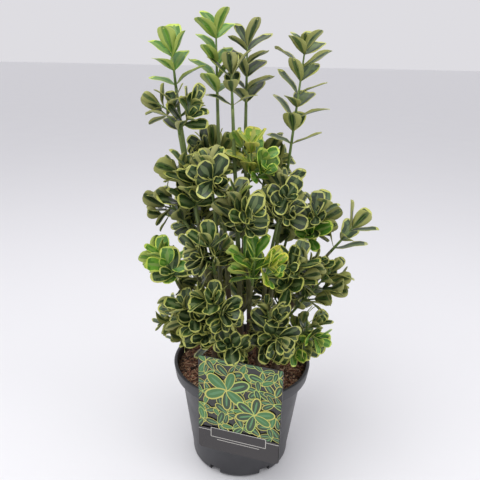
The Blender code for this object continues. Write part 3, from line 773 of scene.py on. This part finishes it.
def bark_slot(point):
    """Brown bark low down, olive in the middle and green above, with uneven borders."""
    height = point.z + BARK_WANDER * math.sin(point.x * 300 + point.y * 170)
    if height < BROWN_BELOW:
        return BROWN
    return OLIVE if height < OLIVE_BELOW else LIVE_GREEN


limbs = TubeMaker(LIMB_SIDES, LIMB_RIBS)
stem_courses = {}
shoots = {}
for name, ((foot_x, foot_y), top) in STEMS.items():
    mass = MASSES[top]
    tip = Vector(mass.tip) * MM
    way = shoot_way(tip, mass.slope)
    end = tip - way * mass.shoot * MM
    foot = Vector((foot_x * MM, foot_y * MM, MEDIUM_LEVEL + GAP))
    course = bend(foot, UP, end, way, STEM_POINTS)
    course.insert(1, foot + UP * FLARE_HEIGHT)
    radii = [FOOT_FLARE, FOOT_FLARE * 0.9, STEM_RADIUS]
    count = len(course) - len(radii)
    radii += [STEM_RADIUS + (TIP_RADIUS - STEM_RADIUS) * (i + 1) / count for i in range(count)]
    limbs.add(course, radii, bark_slot)
    stem_courses[name] = (course, radii)
    shoots[top] = (end, tip)
for name, mass in MASSES.items():
    if not mass.fork:
        continue
    tip = Vector(mass.tip) * MM
    leave, along, radius = point_at_height(*stem_courses[mass.stem], mass.fork * MM)
    if not mass.shoot:
        shoots[name] = (leave, tip)
        continue
    way = shoot_way(tip, mass.slope)
    end = tip - way * mass.shoot * MM
    aside = end - leave
    aside = (aside - along * aside.dot(along)).normalized()
    start_way = (aside + along * BOUGH_RISE).normalized()
    thick = min(BOUGH_RADIUS, radius * BOUGH_SHARE)
    course = bend(leave, start_way, end, way, BOUGH_POINTS)
    radii = [thick + (TIP_RADIUS - thick) * i / (len(course) - 1) for i in range(len(course))]
    limbs.add(course, radii, bark_slot)
    shoots[name] = (end, tip)

bark_materials = [
    grained_material(name, colours, 500, 90, (0.5, 0.75), 0.4 * MM) for name, colours in BARKS.items()
]
wood_mesh = mesh_from_arrays("wood", limbs.points, limbs.faces, limbs.slots)
wood_mesh.shade_smooth()
wood = new_piece("stems_and_boughs", wood_mesh, *bark_materials)
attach(wood, "root")
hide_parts(*[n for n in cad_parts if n.startswith(("stem_", "bough_"))])

# Foliage: opposite pairs of thick glossy leaves down each green twig, dark in the middle with an
# uneven yellow margin, and brighter where they are young. Each mass keeps to its own space.
SHOOT_RADII = [1.9 * MM, 1.5 * MM, 1.0 * MM]
TWIG_RADII = [1.3 * MM, 1.1 * MM, 0.8 * MM]
TWIG_SIDES = 6
TWIG_RIBS = 0.02
TWIG_LENGTH = 24 * MM
TWIG_LENGTHS = (0.7, 1.5)
TWIG_RISE = 0.75
TWIG_PITCH = 0.45
TWIG_PAIRS = 3
TWIG_NODE_SPACING = 9 * MM
TWIG_GREEN = (0.16, 0.24, 0.06)
EXTRA_TWIGS = 7
NODE_SPACING = 13 * MM
CROWN_NODE_SPACING = 15 * MM
ROSETTE_SPACING = 4.5 * MM
TOP_NODE = 2 * MM
PAIR_SPREADS = (28, 46, 54)
SPREAD_CHANGE = 10
TURN_CHANGE = 0.2
TILT_CHANGE = 0.14
PAIR_SIZES = (0.80, 1.06)
TOP_PAIR_SIZE = 0.85
BUD_SPREAD = 0.28
BUD_SIZES = (0.35, 0.6)
TWIG_LEAF = 0.9
CROWN_LEAF = 1.12
LEAF_FITS = (1.0, 0.84, 0.7)
LEAF_CLEARANCE = 5.2 * MM
LEAF_FLOOR = POT_HEIGHT + 3 * MM
CARD_CLEARANCE = 2 * MM
SHARED_EDGE = 9 * MM

card_top = CARD_CENTRE_HEIGHT + CARD_HEIGHT / 2
card_inward = card_turn.to_3x3() @ Vector((0, 1, 0))


def on_segment(point, segment):
    """The point of a segment that is nearest to a point."""
    start, end = segment
    run = end - start
    t = (point - start).dot(run) / run.length_squared
    return start + run * max(0.0, min(1.0, t))


class Space:
    """A mass's own space: within reach of its shoot, and about halfway to every other shoot."""

    def __init__(self, name, reach):
        self.shoot = shoots[name]
        self.reach = reach
        self.planes = []
        for other, segment in shoots.items():
            if other == name:
                continue
            far = segment[0]
            for _ in range(40):
                near = on_segment(far, self.shoot)
                far = on_segment(near, segment)
            away = (far - near).normalized()
            self.planes.append(((near + far) / 2 + away * SHARED_EDGE, away))

    def holds(self, place):
        """Whether a point is in this space, above the pot and behind the card."""
        if place.z < LEAF_FLOOR or (place - on_segment(place, self.shoot)).length > self.reach:
            return False
        behind_card = (place - card_place).dot(card_inward)
        if place.z < card_top + CARD_CLEARANCE and behind_card < CARD_CLEARANCE:
            return False
        return all((place - point).dot(away) < 0 for point, away in self.planes)


# A leaf's outline and form, as shares of its length and width
LEAF_STATIONS = (0.0, 0.05, 0.13, 0.28, 0.45, 0.62, 0.78, 0.9, 0.97, 1.0)
LEAF_WIDTH = 0.58
LEAF_WIDTHS = (0.85, 1.15)
OUTLINE_TO_ROOT = 0.85
OUTLINE_TO_TIP = 0.42
OUTLINE_SCALE = 0.437
STALK_PART = 0.2
STALK_HALF_WIDTH = 0.55 * MM
TIP_HALF_WIDTH = 0.15 * MM
LEAF_CUPS = (0.10, 0.30)
LEAF_CURLS = (-0.05, 0.20)
LEAF_TWISTS = (-0.15, 0.15)
LEAF_WAVE = 0.02
LEAF_SWELL = 0.04
LEAF_THICKNESS = 0.35 * MM
EDGE_THICKNESS = 0.14 * MM
MARGIN_START = 0.82
MARGIN_CHANGE = 0.07
MARGIN_LIMITS = (0.45, 0.95)
SPLASHED_LEAVES = 0.7
SPLASH_BY_MIDRIB = 0.55
SPLASH_ELSEWHERE = 0.12
MARGIN, MIDDLE, SPLASH, MIDRIB, UNDERSIDE, UNDER_MARGIN = range(6)
MIDRIB_STRIP = 3
UNDER_COLUMNS = (0, 2, 5, 7)


def leaf_surface(root, way, across, normal, length, draw):
    """Rows of points over a leaf's upper skin, from one edge to the other."""
    width = length * LEAF_WIDTH * draw.uniform(*LEAF_WIDTHS)
    cup = draw.uniform(*LEAF_CUPS)
    curl = draw.uniform(*LEAF_CURLS)
    twist = draw.uniform(*LEAF_TWISTS)
    low, high = MARGIN_LIMITS
    rows = []
    for t in LEAF_STATIONS:
        half = width / 2 * t ** OUTLINE_TO_ROOT * (1 - t) ** OUTLINE_TO_TIP / OUTLINE_SCALE
        half = max(half, STALK_HALF_WIDTH if t < STALK_PART else TIP_HALF_WIDTH)
        left = min(high, max(low, draw.gauss(MARGIN_START, MARGIN_CHANGE)))
        right = min(high, max(low, draw.gauss(MARGIN_START, MARGIN_CHANGE)))
        row = []
        for j in (-1, -left, -0.45 * left, -0.05, 0.05, 0.45 * right, right, 1):
            wave = LEAF_WAVE * length * math.sin(9 * t + root.x * 900) * abs(j)
            lift = cup * half * j * j + wave - curl * length * t * t + twist * half * j
            lift += LEAF_SWELL * width * math.sin(math.pi * min(abs(j), 1)) * (t * (1 - t)) * 4
            row.append(root + way * length * t + across * half * j + normal * lift)
        rows.append(row)
    return rows


def upper_slot(row, strip, last_strip, splashed, draw):
    """The colour of one face of the upper skin: margin, midrib, splash or middle."""
    if strip in (0, last_strip) or row >= len(LEAF_STATIONS) - 3:
        return MARGIN
    if strip == MIDRIB_STRIP:
        return MIDRIB
    if abs(strip - MIDRIB_STRIP) == 1 and splashed and draw.random() < SPLASH_BY_MIDRIB:
        return SPLASH
    return SPLASH if draw.random() < SPLASH_ELSEWHERE else MIDDLE


class LeafMaker:
    """Leaves joined in one mesh, each with an upper skin and an underside in its own outline."""

    def __init__(self):
        self.points, self.faces, self.slots = [], [], []

    def add(self, root, way, upper, length, draw):
        across = upper.cross(way).normalized()
        normal = way.cross(across)
        rows = leaf_surface(root, way, across, normal, length, draw)
        first = len(self.points)
        wide = len(rows[0])
        for row in rows:
            self.points += row
        splashed = draw.random() < SPLASHED_LEAVES
        for i in range(len(rows) - 1):
            for j in range(wide - 1):
                a = first + i * wide + j
                self.faces.append((a, a + wide, a + wide + 1, a + 1))
                self.slots.append(upper_slot(i, j, wide - 2, splashed, draw))
        self.add_underside(rows, first, normal)

    def add_underside(self, rows, first, normal):
        under = len(self.points)
        wide, narrow = len(rows[0]), len(UNDER_COLUMNS)
        for row in rows:
            for j in UNDER_COLUMNS:
                self.points.append(row[j] - normal * (LEAF_THICKNESS if 0 < j < wide - 1 else EDGE_THICKNESS))
        for i in range(len(rows) - 1):
            for j in range(narrow - 1):
                a = under + i * narrow + j
                self.faces.append((a, a + 1, a + narrow + 1, a + narrow))
                self.slots.append(UNDERSIDE if j == 1 else UNDER_MARGIN)
            left, upper_left = under + i * narrow, first + i * wide
            right, upper_right = left + narrow - 1, upper_left + wide - 1
            self.faces.append((left, left + narrow, upper_left + wide, upper_left))
            self.faces.append((upper_right, upper_right + wide, right + narrow, right))
            self.slots += [MARGIN, MARGIN]


def grow_pairs(start, end, nodes, turn, leaf, draw, spacing):
    """Opposite pairs of leaves down a twig from its tip, each a quarter turn on from the last.

    Yields each leaf's root, direction, the way its upper side faces, and its length.
    """
    way = (end - start).normalized()
    side = way.orthogonal().normalized()
    for node in range(nodes):
        back = ROSETTE_SPACING * min(node, 1) + spacing * max(node - 1, 0)
        place = end - way * (TOP_NODE + back)
        if (place - start).dot(way) < 0:
            return
        spread = PAIR_SPREADS[min(node, 2)] + draw.uniform(-SPREAD_CHANGE, SPREAD_CHANGE)
        turn += math.pi / 2 + draw.uniform(-TURN_CHANGE, TURN_CHANGE)
        for half in (0, math.pi):
            out = Matrix.Rotation(turn + half, 3, way) @ side
            tilt = math.radians(spread) + draw.uniform(-TILT_CHANGE, TILT_CHANGE)
            along = way * math.cos(tilt) + out * math.sin(tilt)
            upper = way * math.sin(tilt) - out * math.cos(tilt)
            size = leaf * draw.uniform(*PAIR_SIZES) * (TOP_PAIR_SIZE if node == 0 else 1)
            yield place, along, upper, size
    for half in (0, math.pi):
        out = Matrix.Rotation(turn + math.pi / 2 + half, 3, way) @ side
        along = (way + out * BUD_SPREAD).normalized()
        yield end - way * MM, along, -out + way * BUD_SPREAD, leaf * draw.uniform(*BUD_SIZES)


# Leaf colours by kind: margin, middle, splash, midrib, underside and the underside's margin
LEAF_COLOURS = {
    "dark": ((0.50, 0.52, 0.14), (0.016, 0.034, 0.010), (0.045, 0.085, 0.028),
             (0.06, 0.11, 0.03), (0.11, 0.15, 0.06), (0.36, 0.37, 0.13)),
    "mid": ((0.55, 0.57, 0.14), (0.026, 0.060, 0.014), (0.075, 0.14, 0.040),
            (0.10, 0.18, 0.04), (0.14, 0.19, 0.07), (0.40, 0.42, 0.13)),
    "bright": ((0.55, 0.68, 0.10), (0.070, 0.20, 0.020), (0.14, 0.32, 0.035),
               (0.20, 0.38, 0.06), (0.20, 0.32, 0.07), (0.45, 0.55, 0.12)),
    "golden": ((0.72, 0.70, 0.09), (0.22, 0.38, 0.03), (0.62, 0.60, 0.07),
               (0.45, 0.50, 0.07), (0.42, 0.45, 0.10), (0.60, 0.60, 0.12)),
}
LEAF_PARTS = ("margin", "middle", "splash", "midrib", "underside", "under_margin")
GLOSSY_SKIN = (0.24, 0.42)
DULL_SKIN = (0.5, 0.7)

leaf_makers = {kind: LeafMaker() for kind in LEAF_COLOURS}
leaf_middles = []


def spray_kind(brightness, draw):
    """Deal a spray its kind of leaf by how bright its mass is."""
    value = brightness + draw.uniform(-0.35, 0.35)
    if value > 1.05:
        return "golden"
    if value > 0.62:
        return "bright"
    return "mid" if value > 0.22 else "dark"


def grow_spray(pairs, kind, space, draw):
    """Add those leaves of a twig that fit in the mass's space, each tried at smaller sizes too."""
    for root, along, upper, size in pairs:
        for fit in LEAF_FITS:
            length = size * fit
            middle = root + along * length * 0.55
            across = upper.cross(along).normalized() * length * 0.24
            spots = (root + along * length, middle + across, middle - across)
            if not all(space.holds(spot) for spot in spots):
                continue
            if any((middle - other).length < LEAF_CLEARANCE for other in leaf_middles):
                continue
            leaf_middles.append(middle)
            leaf_makers[kind].add(root, along, upper, length, draw)
            break


twigs = TubeMaker(TWIG_SIDES, TWIG_RIBS)
for name, mass in MASSES.items():
    start, tip = shoots[name]
    way = (tip - start).normalized()
    space = Space(name, mass.reach * MM)
    draw = random.Random("mass " + name)
    turn = draw.uniform(0, math.pi)
    twigs.add([start, start.lerp(tip, 0.5), tip], SHOOT_RADII)
    kind = spray_kind(mass.brightness, draw)
    if not mass.twigs:
        leaf = mass.leaf * CROWN_LEAF * MM
        pairs = grow_pairs(start, tip, mass.pairs + 3, turn, leaf, draw, CROWN_NODE_SPACING)
        grow_spray(pairs, kind, space, draw)
        continue
    leaf = mass.leaf * MM
    grow_spray(grow_pairs(start, tip, mass.pairs + 4, turn, leaf, draw, NODE_SPACING), kind, space, draw)
    for number in range(mass.twigs + EXTRA_TWIGS):
        foot = tip - way * (ROSETTE_SPACING + NODE_SPACING * (number * TWIG_PITCH + 0.8))
        if (foot - start).dot(way) < 0:
            break
        about = turn + math.pi * number + draw.uniform(0.4, 1.2)
        out = Matrix.Rotation(about, 3, way) @ way.orthogonal()
        lean = (way * TWIG_RISE + out.normalized()).normalized()
        twig_tip = foot + lean * TWIG_LENGTH * draw.uniform(*TWIG_LENGTHS)
        if not space.holds(twig_tip):
            continue
        twigs.add([foot, foot.lerp(twig_tip, 0.5), twig_tip], TWIG_RADII)
        kind = spray_kind(mass.brightness, draw)
        pairs = grow_pairs(foot, twig_tip, TWIG_PAIRS, turn, leaf * TWIG_LEAF, draw, TWIG_NODE_SPACING)
        grow_spray(pairs, kind, space, draw)

twig_green = grained_material("twig_green", [TWIG_GREEN], 600, 90, (0.42, 0.6), 0.2 * MM)
twig_mesh = mesh_from_arrays("twigs", twigs.points, twigs.faces, twigs.slots)
twig_mesh.shade_smooth()
twig_piece = new_piece("twigs", twig_mesh, twig_green)
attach(twig_piece, "root")

for kind, maker in leaf_makers.items():
    materials = []
    for slot, (part, colour) in enumerate(zip(LEAF_PARTS, LEAF_COLOURS[kind])):
        roughness = DULL_SKIN if slot in (UNDERSIDE, UNDER_MARGIN) else GLOSSY_SKIN
        materials.append(grained_material(f"leaf_{kind}_{part}", [colour], 260, 70, roughness, 0.25 * MM))
    leaf_mesh = mesh_from_arrays(f"leaves_{kind}", maker.points, maker.faces, maker.slots)
    leaf_mesh.shade_smooth()
    piece = new_piece(f"leaves_{kind}", leaf_mesh, *materials)
    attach(piece, "root")
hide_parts(*[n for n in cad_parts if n.startswith("foliage_")])

# The boxes of the model and of the dressed plant, to be compared
boxes = {"cad": cad_bounds, "visual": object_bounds()}
{name: [[float(v) for v in point] for point in box] for name, box in boxes.items()}
